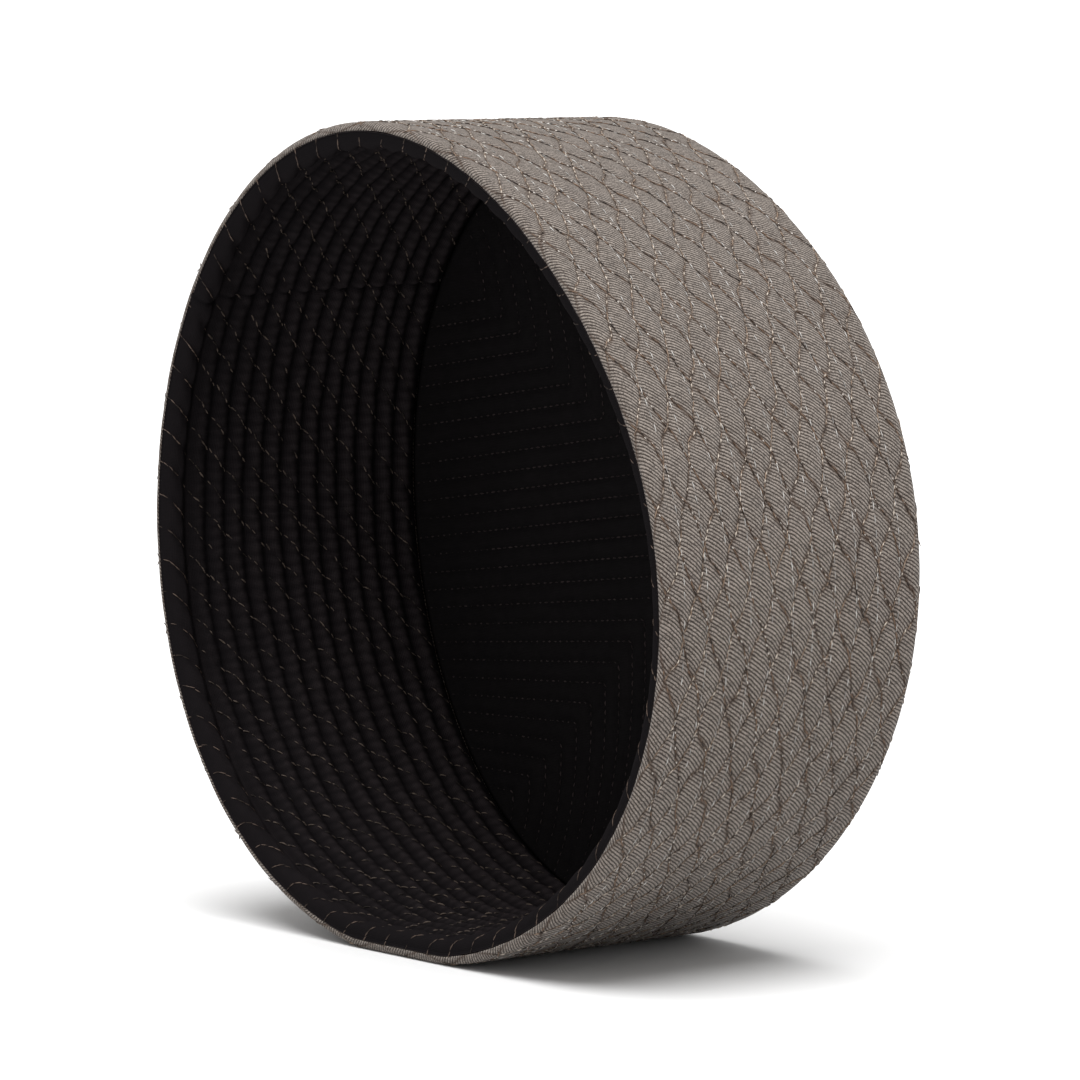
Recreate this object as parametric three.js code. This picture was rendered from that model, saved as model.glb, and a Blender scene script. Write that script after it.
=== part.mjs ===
// Quilted prayer cap lying on its side wall: a low round sleeve with a closed, slightly domed crown.
// The cap's axis runs along Y, the mouth faces -Y, +Z is up, and the origin is below the middle of
// the cap on the surface that it rests on. Lengths are in millimetres and angles in degrees.
import * as THREE from 'three';

// Overall form
const CAP_HEIGHT = 72.5;          // from the rim's edge to the crown's seam
const RIM_RADIUS = 93.0;          // mean outer radius at the rim
const CROWN_RADIUS = 91.5;        // mean outer radius at the crown
const CROWN_DOME = 4.5;           // how far the crown bulges out at its middle
const REST_FLATTENING = 1.2;      // how far the cloth is pressed flat where it lies

// How far out of round the soft wall is, as fractions of the radius
const RIM_SHAPE = { cos2: 0.0148, sin2: -0.0308, cos3: 0.0164, sin3: -0.0154 };
const CROWN_SHAPE = { cos2: 0.0030, sin2: -0.0290, cos3: 0.0228, sin3: 0.0052 };

// Layers, counted inward from the outer surface
const SHELL_THICKNESS = 1.5;
const LAYER_GAP = 0.3;
const LINING_THICKNESS = 1.2;
const LINING_TOP = SHELL_THICKNESS + LAYER_GAP;
const LINING_FACE = LINING_TOP + LINING_THICKNESS;

// Rim: the outer cloth turns over the outer half of the edge, the lining covers the inner half
const RIM_TURN = 1.9;             // depth that the outer cloth covers on the edge
const RIM_ROUND = 1.9;            // rounding radius of the outer half
const RIM_BACK = 1.6;             // how far the turned cloth goes back before it thins
const EDGE_STRIP_WIDTH = 6.8;     // smooth strip of lining before the first rib
const EDGE_STRIP_RELIEF = 0.9;    // how far that strip stands above the lining's base
const EDGE_STRIP_EASE = 1.2;      // width of its slope down to the first groove
const EDGE_ROUND = 1.5;           // rounding radius of the lining's half of the edge

// Cord ribs of the lining
const RIB_COUNT = 12;
const RIB_PITCH = 5.15;
const RIB_RELIEF = 1.1;
const RIB_SHOULDER = 0.27;        // place of a rib's shoulders, as a fraction of its pitch

// Crown corner and crown panel
const CORNER_ROUND = 2.5;         // outer rounding radius where the wall turns in
const TURN_IN = 3.5;              // depth that the wall's cloth reaches on the crown
const CROWN_LINING_INSET = 2.4;   // depth of the crown lining's edge

// Mesh steps
const AROUND = 64;
const ROUND_STEPS = 3;
const CROWN_RINGS = [0.97, 0.85, 0.65, 0.4, 0.2];

const DEGREES_HALF = 180;
const HALF_STEP = Math.PI / AROUND;
const START_ANGLE = -Math.PI / 2 + HALF_STEP;

const CLOTH_COLOURS = {
  outer_twill: 0x6a5f58,
  lining_cloth: 0x17161a,
};

/** Mix two numbers. */
function mix(low, high, share) {
  return low + (high - low) * share;
}

/** Outer outline of the wall at one height, measured from the section's own centre. */
function outlineAt(height) {
  const share = Math.min(Math.max(height / CAP_HEIGHT, 0), 1);
  const radius = mix(RIM_RADIUS, CROWN_RADIUS, share);
  const shape = {};
  for (const key of Object.keys(RIM_SHAPE)) {
    shape[key] = mix(RIM_SHAPE[key], CROWN_SHAPE[key], share);
  }
  const radiusAt = (angle) => radius * (1
    + shape.cos2 * Math.cos(2 * angle) + shape.sin2 * Math.sin(2 * angle)
    + shape.cos3 * Math.cos(3 * angle) + shape.sin3 * Math.sin(3 * angle));
  let lowest = 0;
  for (let degree = -DEGREES_HALF; degree < DEGREES_HALF; degree += 1) {
    const angle = degree * Math.PI / DEGREES_HALF;
    lowest = Math.min(lowest, radiusAt(angle) * Math.sin(angle));
  }
  return { radiusAt, centreHeight: -lowest - REST_FLATTENING };
}

/** Point of the wall at a height along the axis, a depth under the outer surface and an angle. */
function wallPoint(height, depth, angle) {
  const outline = outlineAt(height);
  const radius = outline.radiusAt(angle) - depth;
  const up = outline.centreHeight + radius * Math.sin(angle);
  return new THREE.Vector3(radius * Math.cos(angle), height, Math.max(up, depth));
}

/** Height of the crown's outer face at a share of the radius, 1 at the edge. */
function crownHeight(share) {
  return CAP_HEIGHT + CROWN_DOME * (1 - share * share);
}

/** Angles of the mesh columns, with two columns astride the lowest line. */
function columnAngles() {
  return Array.from({ length: AROUND }, (_, index) => START_ANGLE + index * 2 * HALF_STEP);
}

/** Profile points of a rounded corner, between two angles in the height and depth plane. */
function cornerArc(centreHeight, centreDepth, radius, fromDegrees, toDegrees) {
  const points = [];
  for (let step = 0; step <= ROUND_STEPS; step += 1) {
    const angle = mix(fromDegrees, toDegrees, step / ROUND_STEPS) * Math.PI / DEGREES_HALF;
    points.push([centreHeight + radius * Math.cos(angle), centreDepth + radius * Math.sin(angle)]);
  }
  return points;
}

/** Geometry from rows of points: one row per profile point, closed round the cap. */
function geometryFromRows(rows, closeProfile, startPole, endPole) {
  const positions = [];
  const triangles = [];
  for (const row of rows) {
    for (const point of row) {
      positions.push(point.x, point.y, point.z);
    }
  }
  const at = (row, column) => row * AROUND + (column % AROUND);
  const bands = closeProfile ? rows.length : rows.length - 1;
  for (let row = 0; row < bands; row += 1) {
    const next = (row + 1) % rows.length;
    for (let column = 0; column < AROUND; column += 1) {
      triangles.push(at(row, column), at(next, column), at(next, column + 1));
      triangles.push(at(row, column), at(next, column + 1), at(row, column + 1));
    }
  }
  if (startPole) {
    const pole = positions.length / 3;
    positions.push(startPole.x, startPole.y, startPole.z);
    for (let column = 0; column < AROUND; column += 1) {
      triangles.push(pole, at(0, column), at(0, column + 1));
    }
  }
  if (endPole) {
    const pole = positions.length / 3;
    positions.push(endPole.x, endPole.y, endPole.z);
    for (let column = 0; column < AROUND; column += 1) {
      triangles.push(pole, at(rows.length - 1, column + 1), at(rows.length - 1, column));
    }
  }
  const geometry = new THREE.BufferGeometry();
  geometry.setAttribute('position', new THREE.Float32BufferAttribute(positions, 3));
  geometry.setIndex(triangles);
  geometry.computeVertexNormals();
  return geometry;
}

/** Sleeve around the cap from a closed profile of [height, depth] points. */
function sleeve(profile) {
  const angles = columnAngles();
  const rows = profile.map(([height, depth]) => angles.map((angle) => wallPoint(height, depth, angle)));
  return geometryFromRows(rows, true, null, null);
}

/** Profile of the outer cloth: turned over the rim, up the wall, and in over the crown's edge. */
function shellProfile() {
  const cornerHeight = CAP_HEIGHT - CORNER_ROUND;
  const innerRound = CORNER_ROUND - SHELL_THICKNESS;
  return [
    [RIM_BACK + LAYER_GAP, SHELL_THICKNESS],
    [RIM_BACK, RIM_TURN],
    ...cornerArc(RIM_ROUND, RIM_ROUND, RIM_ROUND, 180, 270),
    [CAP_HEIGHT / 2, 0],
    ...cornerArc(cornerHeight, CORNER_ROUND, CORNER_ROUND, 270, 360),
    [CAP_HEIGHT, TURN_IN],
    [CAP_HEIGHT - SHELL_THICKNESS, TURN_IN],
    ...cornerArc(cornerHeight, CORNER_ROUND, innerRound, 360, 270),
    [CAP_HEIGHT / 2, SHELL_THICKNESS],
  ];
}

/** Profile of the wall's lining: half the edge, a smooth strip, then the cord ribs. */
function liningProfile() {
  const edgeDepth = RIM_TURN + LAYER_GAP;
  const edgeFace = LINING_FACE + EDGE_STRIP_RELIEF;
  const liningEnd = CAP_HEIGHT - SHELL_THICKNESS - LAYER_GAP - LINING_THICKNESS - LAYER_GAP;
  const points = [
    [CAP_HEIGHT / 2, LINING_TOP],
    [RIM_BACK + 2 * LAYER_GAP, LINING_TOP],
    [RIM_BACK + LAYER_GAP, edgeDepth],
    [0, edgeDepth],
    ...cornerArc(EDGE_ROUND, edgeFace - EDGE_ROUND, EDGE_ROUND, 180, 90),
    [EDGE_STRIP_WIDTH - EDGE_STRIP_EASE, edgeFace],
  ];
  for (let rib = 0; rib < RIB_COUNT; rib += 1) {
    const start = EDGE_STRIP_WIDTH + rib * RIB_PITCH;
    points.push([start, LINING_FACE]);
    points.push([start + RIB_SHOULDER * RIB_PITCH, LINING_FACE + RIB_RELIEF]);
    points.push([start + (1 - RIB_SHOULDER) * RIB_PITCH, LINING_FACE + RIB_RELIEF]);
  }
  points.push([EDGE_STRIP_WIDTH + RIB_COUNT * RIB_PITCH, LINING_FACE]);
  points.push([liningEnd, LINING_FACE]);
  points.push([liningEnd, LINING_TOP]);
  return points.reverse();
}

/** Domed disc whose outer face lies a distance under the crown's outer face. */
function crownDisc(edgeDepth, below, thickness) {
  const angles = columnAngles();
  const outline = outlineAt(CAP_HEIGHT);
  const edge = angles.map((angle) => wallPoint(CAP_HEIGHT, edgeDepth, angle));
  const ring = (share, drop) => edge.map((point) => new THREE.Vector3(
    point.x * share,
    crownHeight(share) - drop,
    outline.centreHeight + (point.z - outline.centreHeight) * share,
  ));
  const pole = (drop) => new THREE.Vector3(0, crownHeight(0) - drop, outline.centreHeight);
  const shares = [1, ...CROWN_RINGS];
  const innerRings = [...shares].reverse().map((share) => ring(share, below + thickness));
  const outerRings = shares.map((share) => ring(share, below));
  return geometryFromRows([...innerRings, ...outerRings], false, pole(below + thickness), pole(below));
}

/** Move everything so that the whole cap is centred above the origin. */
function centreOnFloor(group) {
  group.updateMatrixWorld(true);
  const box = new THREE.Box3().setFromObject(group);
  const middle = box.getCenter(new THREE.Vector3());
  for (const mesh of group.children) {
    mesh.geometry.translate(-middle.x, -middle.y, -box.min.z);
  }
}

/** Named mesh with its own cloth material. */
function clothPart(name, geometry, colour) {
  const material = new THREE.MeshStandardMaterial({ color: colour, roughness: 0.95, metalness: 0 });
  material.name = name;
  const mesh = new THREE.Mesh(geometry, material);
  mesh.name = name;
  return mesh;
}

const cap = new THREE.Group();
cap.name = 'prayer_cap';
cap.add(clothPart('wall_shell', sleeve(shellProfile()), CLOTH_COLOURS.outer_twill));
cap.add(clothPart('wall_lining', sleeve(liningProfile()), CLOTH_COLOURS.lining_cloth));
cap.add(clothPart('crown_shell', crownDisc(TURN_IN + LAYER_GAP, 0, SHELL_THICKNESS), CLOTH_COLOURS.outer_twill));
cap.add(clothPart(
  'crown_lining',
  crownDisc(CROWN_LINING_INSET, SHELL_THICKNESS + LAYER_GAP, LINING_THICKNESS),
  CLOTH_COLOURS.lining_cloth,
));
centreOnFloor(cap);

export default cap;
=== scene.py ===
"""A quilted prayer cap that lies on its side wall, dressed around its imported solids.

The cap's axis runs along Y, its mouth faces -Y, and it lies on Z = 0. The outer cloth is a fine
taupe twill, quilted by two families of slanting lines and by pale rows round the cap. The lining
is black, corded in ribs round the wall and stitched in straight rows on the crown. Sizes are in
millimetres and angles in degrees unless a name says otherwise. Meshes are made in metres.
"""

from __future__ import annotations

import logging
import math
from dataclasses import dataclass
from enum import Enum
from functools import cached_property

import bpy
import numpy as np
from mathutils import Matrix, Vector
from mathutils.kdtree import KDTree


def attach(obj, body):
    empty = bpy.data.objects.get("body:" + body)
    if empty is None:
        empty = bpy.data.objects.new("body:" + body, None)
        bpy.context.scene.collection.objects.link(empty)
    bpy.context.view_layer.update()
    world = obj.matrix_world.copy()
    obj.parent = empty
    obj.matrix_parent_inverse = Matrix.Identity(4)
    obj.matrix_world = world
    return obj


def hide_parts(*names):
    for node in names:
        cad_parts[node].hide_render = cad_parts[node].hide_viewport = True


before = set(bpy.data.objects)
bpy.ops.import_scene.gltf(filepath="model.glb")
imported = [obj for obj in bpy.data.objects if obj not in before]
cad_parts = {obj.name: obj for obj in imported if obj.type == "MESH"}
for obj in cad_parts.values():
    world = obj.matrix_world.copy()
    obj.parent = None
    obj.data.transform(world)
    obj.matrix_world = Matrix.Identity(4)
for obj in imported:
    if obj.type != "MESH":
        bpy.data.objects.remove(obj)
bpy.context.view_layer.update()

MM = 0.001
FULL_TURN = 2.0 * math.pi
BODY = "root"
LOG = logging.getLogger("prayer_cap")

Array = np.ndarray
Colour = tuple[float, float, float, float]
Harmonics = tuple[float, float, float, float]
Inputs = dict[str | int, object]
Lines = list[tuple[Array, Array]]


class Lean(Enum):
    """Which way a slanting quilting line leans as it goes down the cap's right side."""

    TO_CROWN = 1
    TO_RIM = -1


class Face(Enum):
    """Side of the crown that a disc of cloth shows."""

    OUTSIDE = 1
    INSIDE = -1


def eased(value: Array | float) -> Array | float:
    """Smooth step from 0 to 1 for a value that runs from 0 to 1."""
    share = np.clip(value, 0.0, 1.0)
    return share * share * (3.0 - 2.0 * share)


def bell(distance: Array | float, width: float) -> Array | float:
    """Bell curve, 1 at no distance and nearly 0 past twice the width."""
    return np.exp(-((distance / width) ** 2))


def column_angles(columns: int) -> Array:
    """Angles in radians of a mesh's columns round the cap."""
    return -math.pi + FULL_TURN * np.arange(columns) / columns


def link_object(name: str, data: bpy.types.ID) -> bpy.types.Object:
    """Make an object of a mesh, camera or light, and link it to the scene."""
    made = bpy.data.objects.new(name, data)
    bpy.context.scene.collection.objects.link(made)
    return made


def vertex_places(mesh: bpy.types.Mesh) -> Array:
    """Places of a mesh's points, one row each."""
    places = np.zeros(len(mesh.vertices) * 3, np.float32)
    mesh.vertices.foreach_get("co", places)
    return places.reshape(-1, 3)


@dataclass(frozen=True)
class Ripple:
    """Soft unevenness of hand-made cloth, the same each time, as a sum of a few waves.

    Each wave is its size, its waves round the cap, its waves per millimetre of height and its
    start in radians.
    """

    waves: tuple[tuple[float, int, float, float], ...]

    def at(self, height: Array, angle: Array) -> Array:
        """Value of the unevenness.

        Args:
            height: Distance from the rim along the axis.
            angle: Angle round the cap in radians.

        Returns:
            The sum of the waves, with the shape of the arguments.
        """
        total = np.zeros(np.broadcast(height, angle).shape)
        for size, around, per_mm, start in self.waves:
            total = total + size * np.sin(around * angle + FULL_TURN * per_mm * height + start)
        return total


@dataclass(frozen=True)
class CapForm:
    """The cap's outline and layers, with the same sizes as the solids."""

    height: float = 72.5
    rim_radius: float = 93.0
    crown_radius: float = 91.5
    crown_dome: float = 4.5
    rest_flattening: float = 1.2
    rest_softness: float = 0.25
    rim_shape: Harmonics = (0.0148, -0.0308, 0.0164, -0.0154)
    crown_shape: Harmonics = (0.0030, -0.0290, 0.0228, 0.0052)
    shell_thickness: float = 1.5
    layer_gap: float = 0.3
    lining_thickness: float = 1.2
    rim_turn: float = 1.9
    rim_round: float = 1.9
    rim_back: float = 1.6
    corner_round: float = 2.5
    turn_in: float = 3.5
    crown_lining_inset: float = 2.4
    solid_columns: int = 64
    section_count: int = 17
    hidden_shares: tuple[float, float] = (0.66, 0.33)

    @property
    def lining_top(self) -> float:
        """Depth of the lining's hidden side."""
        return self.shell_thickness + self.layer_gap

    @property
    def lining_face(self) -> float:
        """Depth of the lining's visible side between the ribs."""
        return self.lining_top + self.lining_thickness

    @property
    def mean_radius(self) -> float:
        """Radius at which lengths round the wall are counted."""
        return (self.rim_radius + self.crown_radius) / 2.0

    @property
    def full_height(self) -> float:
        """Height of the cap with the crown's dome."""
        return self.height + self.crown_dome

    def radius_at(self, height: Array, angle: Array) -> Array:
        """Outer radius of the wall, measured from the section's own centre.

        Args:
            height: Distance from the rim along the axis.
            angle: Angle round the cap in radians, 0 towards +X.

        Returns:
            The radius in millimetres.
        """
        share = np.clip(np.asarray(height, float) / self.height, 0.0, 1.0)
        radius = self.rim_radius + (self.crown_radius - self.rim_radius) * share
        terms = (np.cos(2 * angle), np.sin(2 * angle), np.cos(3 * angle), np.sin(3 * angle))
        shape = 1.0
        for low, high, term in zip(self.rim_shape, self.crown_shape, terms):
            shape = shape + (low + (high - low) * share) * term
        return radius * shape

    @cached_property
    def _centre_table(self) -> tuple[Array, Array]:
        """Heights along the axis and how high the section's centre is above the floor there."""
        heights = np.linspace(0.0, self.height, self.section_count)
        angles = np.radians(np.arange(-180.0, 180.0))
        lowest = [(self.radius_at(height, angles) * np.sin(angles)).min() for height in heights]
        return heights, -np.array(lowest) - self.rest_flattening

    def centre_at(self, height: Array) -> Array:
        """Height of the section's centre above the floor."""
        heights, centres = self._centre_table
        return np.interp(height, heights, centres)

    @cached_property
    def middle_x(self) -> float:
        """Place of the box's middle across the mouth, counted from the sections' centre."""
        step = FULL_TURN / self.solid_columns
        angles = -math.pi / 2 + step / 2 + step * np.arange(self.solid_columns)
        across = [self.radius_at(height, angles) * np.cos(angles) for height in (0.0, self.height)]
        return (np.max(across) + np.min(across)) / 2.0

    def place(self, height: Array, depth: Array, angle: Array) -> Array:
        """Points of the wall in the row frame.

        Args:
            height: Distance from the rim along the axis.
            depth: Depth under the outer surface, negative outside it.
            angle: Angle round the cap in radians.

        Returns:
            Points in metres, with the last axis holding x, y and z.
        """
        height, depth, angle = np.broadcast_arrays(height, depth, angle)
        radius = self.radius_at(height, angle) - depth
        up = self.centre_at(height) + radius * np.sin(angle)
        floor = np.maximum(depth, 0.0)
        lift = np.sqrt((up - floor) ** 2 + self.rest_softness**2)
        pressed = (up + floor + lift) / 2.0
        points = (radius * np.cos(angle) - self.middle_x, height - self.full_height / 2.0, pressed)
        return np.stack(points, axis=-1) * MM

    def chart_around(self, columns: int) -> Array:
        """Chart coordinates round the wall at a mesh's columns and back at the first, in metres."""
        return np.linspace(0.0, FULL_TURN * self.mean_radius * MM, columns + 1)

    def crown_edge(self, depth: float, angle: Array) -> tuple[Array, Array]:
        """Edge of a crown disc as distances across and up from the crown's centre."""
        radius = self.radius_at(self.height, angle) - depth
        up = np.maximum(radius * np.sin(angle), depth - self.centre_at(self.height))
        return radius * np.cos(angle), up

    def place_on_crown(self, across: Array, up: Array, below: Array) -> Array:
        """Points on the domed crown in the row frame.

        Args:
            across: Distance from the crown's centre along X.
            up: Distance from the crown's centre along Z.
            below: Distance under the crown's outer face, towards the mouth.

        Returns:
            Points in metres, with the last axis holding x, y and z.
        """
        angle = np.arctan2(up, across)
        share = np.hypot(across, up) / self.radius_at(self.height, angle)
        along = self.height + self.crown_dome * (1.0 - share**2) - below
        centre = self.centre_at(self.height)
        points = (across - self.middle_x, along - self.full_height / 2.0, up + centre)
        return np.stack(np.broadcast_arrays(*points), axis=-1) * MM


@dataclass(frozen=True)
class WallQuilting:
    """The stitched lines on the outer wall: two slanting families and the pale rows.

    The rows drift by a sum of waves. Each is its size, its waves round the cap and its shift from
    one row to the next in radians.
    """

    form: CapForm
    repeats: int = 33
    lattice_height: float = 7.25
    row_start: float = 5.5
    row_pitch: float = 5.97
    row_count: int = 11
    linger: float = 0.45
    to_crown_phase: float = -0.116
    to_rim_phase: float = 0.278
    puff: float = 0.22
    puff_reach: float = 1.5
    groove: float = 0.14
    groove_width: float = 0.9
    row_groove: float = 0.05
    row_groove_width: float = 0.9
    line_dip: float = 0.85
    row_dip: float = 0.28
    least_tug: float = 0.35
    most_tug: float = 1.8
    corrections: int = 6
    row_drift: tuple[tuple[float, int, float], ...] = ((0.25, 2, 0.7), (0.12, 11, 1.9))
    wander: Ripple = Ripple(
        (
            (0.035, 7, 0.045, 0.4),
            (0.030, -17, 0.090, 2.1),
            (0.020, 41, 0.150, 4.0),
            (0.016, -83, 0.210, 1.3),
        )
    )
    pucker: Ripple = Ripple(
        (
            (0.30, 29, 0.110, 0.9),
            (0.25, -71, 0.190, 3.7),
            (0.20, 149, 0.060, 5.2),
        )
    )

    @property
    def line_spacing(self) -> float:
        """Distance between two neighbouring lines of one family, square to them."""
        around = FULL_TURN * self.form.mean_radius / self.repeats
        return 1.0 / math.hypot(1.0 / around, 1.0 / self.lattice_height)

    def start(self, lean: Lean) -> float:
        """Phase of a family at the rim at angle 0."""
        return self.to_crown_phase if lean is Lean.TO_CROWN else self.to_rim_phase

    def _height_phase(self, height: Array) -> Array:
        """How far a slanting line has gone up, in repeats; it lingers along each row."""
        turn = FULL_TURN * (height - self.row_start) / self.row_pitch
        return (height + self.linger * np.sin(turn)) / self.lattice_height

    def phase(self, lean: Lean, height: Array, angle: Array) -> Array:
        """Phase of a family of lines, a whole number on each line."""
        base = self.repeats * angle / FULL_TURN + lean.value * self._height_phase(height)
        return base + self.start(lean) + self.wander.at(height, angle)

    def line_angle(self, lean: Lean, number: int, height: Array) -> Array:
        """Angle of one line at each height, by repeated correction for its wander."""
        angle = np.zeros_like(height)
        for _ in range(self.corrections):
            angle = angle - (self.phase(lean, height, angle) - number) * FULL_TURN / self.repeats
        return angle

    def line_gap(self, lean: Lean, height: Array, angle: Array) -> Array:
        """Distance to the nearest line of a family."""
        phase = self.phase(lean, height, angle)
        return np.abs(phase - np.round(phase)) * self.line_spacing

    def row_height(self, number: int, angle: Array) -> Array:
        """Height of a pale row, which drifts a little."""
        height = self.row_start + number * self.row_pitch
        for size, around, shift in self.row_drift:
            height = height + size * np.sin(around * angle + shift * number)
        return height

    def row_gap(self, height: Array, angle: Array) -> Array:
        """Distance to the nearest pale row."""
        gaps = [np.abs(height - self.row_height(number, angle)) for number in range(self.row_count)]
        return np.min(gaps, axis=0)

    def relief(self, height: Array, angle: Array) -> Array:
        """How far the quilted cloth stands out of, or sinks under, the plain wall."""
        row_gap = self.row_gap(height, angle)
        puff = self.puff * (1.0 - self.row_dip * bell(row_gap, self.puff_reach))
        sunk = self.row_groove * bell(row_gap, self.row_groove_width)
        tug = np.clip(1.0 + self.pucker.at(height, angle), self.least_tug, self.most_tug)
        for lean in Lean:
            gap = self.line_gap(lean, height, angle)
            puff = puff * (1.0 - self.line_dip * bell(gap, self.puff_reach))
            sunk = np.maximum(sunk, self.groove * tug * bell(gap, self.groove_width))
        return puff - sunk


@dataclass(frozen=True)
class LiningRibs:
    """The corded lining of the wall: a smooth edge strip, ribs and slanting lines over them."""

    form: CapForm
    strip_width: float = 6.8
    strip_relief: float = 3.1
    strip_ease: float = 3.4
    roll_height: float = 2.6
    roll_depth: float = 4.0
    pinch: float = 0.26
    pinch_width: float = 1.3
    rib_count: int = 12
    rib_pitch: float = 5.15
    rib_relief: float = 1.35
    rib_fullness: float = 0.95
    line_count: int = 70
    line_slope: float = 1.08
    line_start: float = 0.15
    line_swing: float = 0.4
    crowding: float = 0.08
    notch: float = 0.3
    notch_width: float = 0.8
    join_angle: float = 145.7
    join_step: float = 0.4
    join_reach: float = 7.0
    join_ease: float = 1.2
    join_groove: float = 0.75
    join_width: float = 0.65
    sway_ease: float = 4.0
    shade_lead: float = 0.8
    shade_ease: float = 2.4
    sway: Ripple = Ripple(((0.16, 9, 0.02, 1.0), (0.10, -31, 0.05, 2.4), (0.06, 67, 0.03, 0.3)))
    lumps: Ripple = Ripple(((0.05, 91, 0.05, 0.6), (0.05, -67, 0.10, 1.9), (0.04, 47, 0.30, 3.3)))

    def _advance(self, height: Array) -> Array:
        """How far a slanting line has gone round at each height; it swings at every rib."""
        rib = FULL_TURN * np.maximum(height - self.strip_width, 0.0) / self.rib_pitch
        return (self.line_slope * height - self.line_swing * np.sin(rib)) / self.form.mean_radius

    def line_angle(self, number: float, height: Array) -> Array:
        """Angle of a slanting line at each height; the lines stand closer on the far side."""
        start = FULL_TURN * (number + self.line_start) / self.line_count
        return start + self.crowding * math.sin(start) + self._advance(height)

    def line_gap(self, height: Array, angle: Array) -> Array:
        """Distance to the nearest slanting line."""
        start = angle - self._advance(height)
        number = (start - self.crowding * np.sin(start)) * self.line_count / FULL_TURN - self.line_start
        spacing = FULL_TURN * self.form.mean_radius / self.line_count
        return np.abs(number - np.round(number)) * spacing * math.cos(math.atan(self.line_slope))

    def rib_share(self, height: Array) -> Array:
        """Place across a rib from 0 to 1, and 0 outside the ribs."""
        number = (height - self.strip_width) / self.rib_pitch
        inside = (number >= 0.0) & (number < self.rib_count)
        return np.where(inside, number - np.floor(number), 0.0)

    def crest(self, height: Array, angle: Array) -> Array:
        """Rise of the ribs, 0 in the grooves between them and on the edge strip, 1 on a rib."""
        share = eased((height - self.strip_width) / self.sway_ease)
        swayed = height + self.sway.at(height, angle) * share
        return np.sin(math.pi * self.rib_share(swayed)) ** self.rib_fullness

    def shade(self, height: Array, angle: Array) -> Array:
        """Painted shade: how much darker the cloth is painted, 1 at the bottom of a groove and on the
        join.
        """
        past_strip = eased((height - self.strip_width + self.shade_lead) / self.shade_ease)
        grooves = (1.0 - self.crest(height, angle) ** 2) * past_strip
        return np.maximum(grooves, bell(self._past_join(angle), self.join_width))

    def depth(self, height: Array, angle: Array) -> Array:
        """Depth of the lining's visible face under the cap's outer surface."""
        height, angle = np.broadcast_arrays(np.asarray(height, float), angle)
        crest = self.crest(height, angle)
        gap = self.line_gap(height, angle)
        notch = 1.0 - self.notch * bell(gap, self.notch_width)
        pinch = self.pinch * bell(gap, self.pinch_width)
        strip = eased((self.strip_width - height) / self.strip_ease)
        strip = strip * (1.0 - pinch * eased(height / self.roll_height))
        corner = np.clip(1.0 - height / self.roll_height, 0.0, 1.0)
        rounding = self.roll_depth * (1.0 - np.sqrt(1.0 - corner**2))
        lumps = self.lumps.at(height, angle) * crest
        raised = self.rib_relief * crest * notch + self.strip_relief * strip - rounding + lumps
        return self.form.lining_face + raised + self.join_relief(angle)

    def _past_join(self, angle: Array) -> Array:
        """Distance round the lining past the line where its two ends are joined."""
        turn = math.radians(self.join_angle) - angle
        return ((turn + math.pi) % FULL_TURN - math.pi) * self.form.mean_radius

    def join_relief(self, angle: Array) -> Array:
        """Height of the lap where the lining's two ends are joined, and the groove beside it."""
        past = self._past_join(angle)
        lap = eased(past / self.join_ease + 0.5) * (1.0 - eased(past / self.join_reach))
        return self.join_step * lap - self.join_groove * bell(past, self.join_width)


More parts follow.
